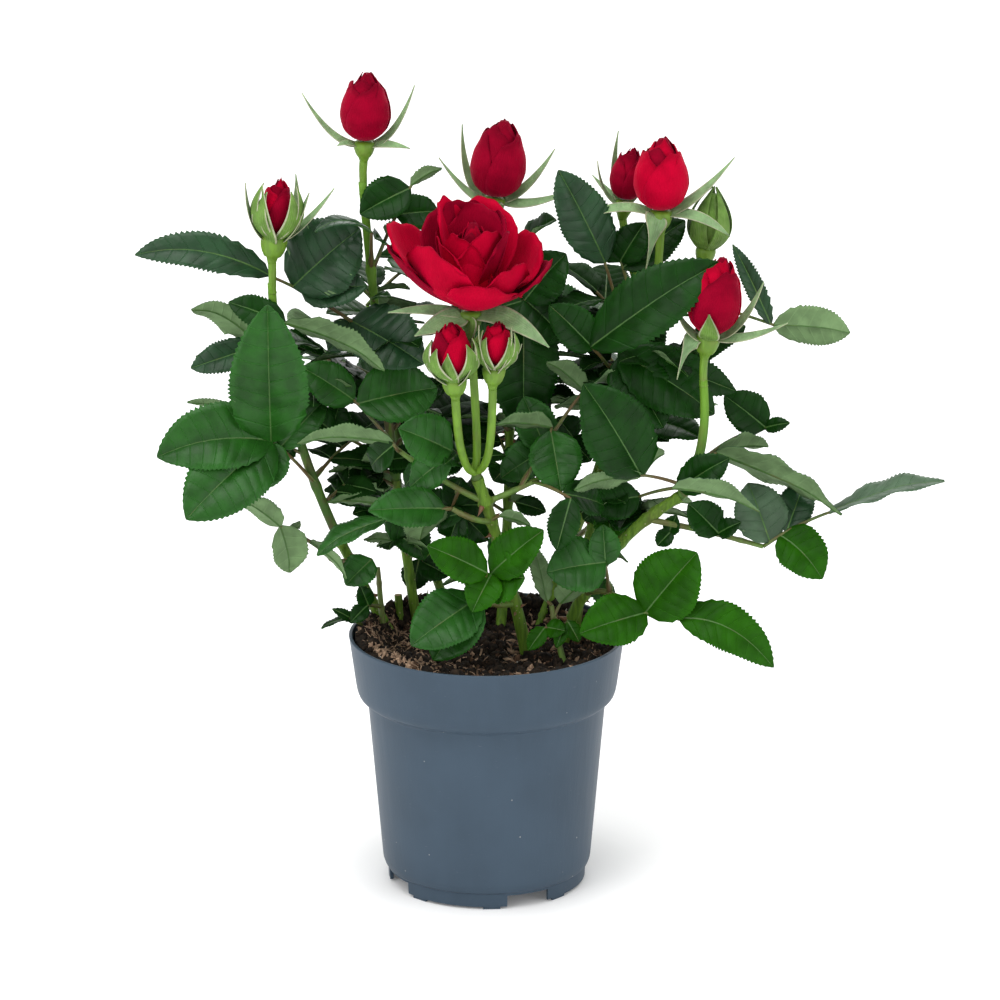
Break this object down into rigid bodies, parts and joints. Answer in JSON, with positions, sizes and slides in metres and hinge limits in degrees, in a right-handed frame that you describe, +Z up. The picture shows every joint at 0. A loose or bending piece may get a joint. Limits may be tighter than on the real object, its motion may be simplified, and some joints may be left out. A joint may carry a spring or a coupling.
{
  "type": "potted miniature rose bush",
  "caption": "Small rose bush with red buds, an open red bloom and dark toothed leaves, standing in a round grey plastic nursery pot of soil.",
  "frame": {"origin": "centre of the pot's flat foot, on the surface that the pot stands on", "axes": "+Z up, -Y towards the side of the bush that is seen first, +X to its right"},
  "size_m": [0.346, 0.189, 0.3572],
  "materials": {
    "pot": "satin",
    "soil": "rough",
    "cane": "satin",
    "foliage": "satin",
    "petals": "velvet"
  },
  "bodies": {
    "root": {"back_left_low": "foliage", "back_left_top": "foliage", "back_top": "foliage", "cane_back": "cane", "cane_back_left": "cane", "cane_centre": "cane", "cane_left": "cane", "cane_rear_left": "cane", "cane_rear_right": "cane", "cane_right": "cane", "cane_right_back": "cane", "centre_front": "foliage", "centre_left": "foliage", "centre_low": "foliage", "centre_right": "foliage", "centre_top": "foliage", "cut_stub": "cane", "left_low": "foliage", "left_top": "foliage", "low_left": "foliage", "low_right": "foliage", "petals_back": "petals", "petals_back_left": "petals", "petals_centre": "petals", "petals_centre_left": "petals", "petals_centre_right": "petals", "petals_left": "petals", "petals_right": "petals", "petals_right_back": "petals", "petals_right_back_second": "petals", "pot": "pot", "rear_left_low": "foliage", "rear_left_top": "foliage", "rear_right_low": "foliage", "rear_right_top": "foliage", "right_back_top": "foliage", "right_foot": "foliage", "right_low": "foliage", "right_top": "foliage", "soil": "soil"}
  },
  "joints": []
}
